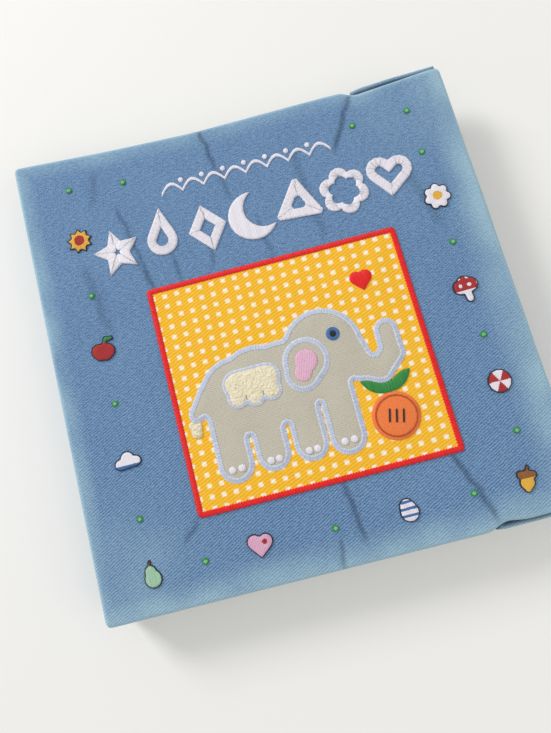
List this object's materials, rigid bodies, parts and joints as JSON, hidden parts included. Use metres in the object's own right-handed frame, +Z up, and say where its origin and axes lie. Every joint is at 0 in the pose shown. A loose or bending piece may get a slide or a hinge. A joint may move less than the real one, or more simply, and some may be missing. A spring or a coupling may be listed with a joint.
{
  "type": "cloth baby book",
  "caption": "Square padded cloth baby book with a denim cover, an appliqued picture panel and embroidered motifs.",
  "frame": {"origin": "on the table, under the middle of the book's outline, with the book lying on its back cover", "axes": "+X from the spine to the fore edge, +Y from tail to head, +Z up out of the front cover"},
  "size_m": [0.25, 0.2566, 0.0281],
  "materials": {
    "black_thread": "satin",
    "blue_thread": "satin",
    "brown_thread": "satin",
    "cream_plush": "matte",
    "cream_thread": "satin",
    "denim": "matte",
    "green_satin": "satin",
    "grey_twill": "matte",
    "lining": "matte",
    "orange_felt": "matte",
    "page_cloth": "matte",
    "pale_green_thread": "satin",
    "pale_satin": "satin",
    "pink_satin": "satin",
    "red_satin": "satin",
    "rust_thread": "satin",
    "wadding": "matte",
    "white_satin": "satin",
    "yellow_check_cloth": "matte",
    "yellow_thread": "satin"
  },
  "bodies": {
    "book_block": {"page_block": "page_cloth", "spine_cloth": "denim", "binding_stitches": "cream_thread"},
    "front_cover": {"blanket_plush": "cream_plush", "blanket_stitching": "pale_satin", "ear_cloth": "grey_twill", "ear_pink_satin": "pink_satin", "ear_stitching": "pale_satin", "elephant_cloth": "grey_twill", "elephant_stitching": "pale_satin", "eye_pupil": "black_thread", "eye_ring": "blue_thread", "fine_scallops": "white_satin", "front_cover_cloth": "denim", "front_cover_lining": "lining", "front_cover_wadding": "wadding", "green_dots": "green_satin", "motif_acorn": "brown_thread", "motif_apple": "red_satin", "motif_ball": "white_satin", "motif_cloud": "white_satin", "motif_daisy": "white_satin", "motif_egg": "white_satin", "motif_heart": "pink_satin", "motif_pear": "pale_green_thread", "motif_sun": "yellow_thread", "motif_toadstool": "red_satin", "orange_felt": "orange_felt", "orange_leaves": "green_satin", "orange_marks": "black_thread", "orange_stitching": "rust_thread", "panel_border": "red_satin", "picture_panel": "yellow_check_cloth", "red_heart": "red_satin", "row_diamond": "white_satin", "row_drop": "white_satin", "row_flower": "white_satin", "row_heart": "white_satin", "row_moon": "white_satin", "row_star": "white_satin", "row_triangle": "white_satin", "scallop_dots": "white_satin", "tail_tuft": "cream_plush", "toenails": "white_satin"},
    "back_cover": {"back_cover_cloth": "denim", "back_cover_lining": "lining", "back_cover_wadding": "wadding"}
  },
  "joints": [
    {"name": "front_cover_hinge", "type": "hinge", "parent": "book_block", "child": "front_cover", "pos_m": [-0.12515, 0, 0.02035], "axis": [0, -1, 0], "range_deg": [0, 180]},
    {"name": "back_cover_hinge", "type": "hinge", "parent": "book_block", "child": "back_cover", "pos_m": [-0.12515, 0, 0.00565], "axis": [0, -1, 0], "range_deg": [-180, 0]}
  ]
}
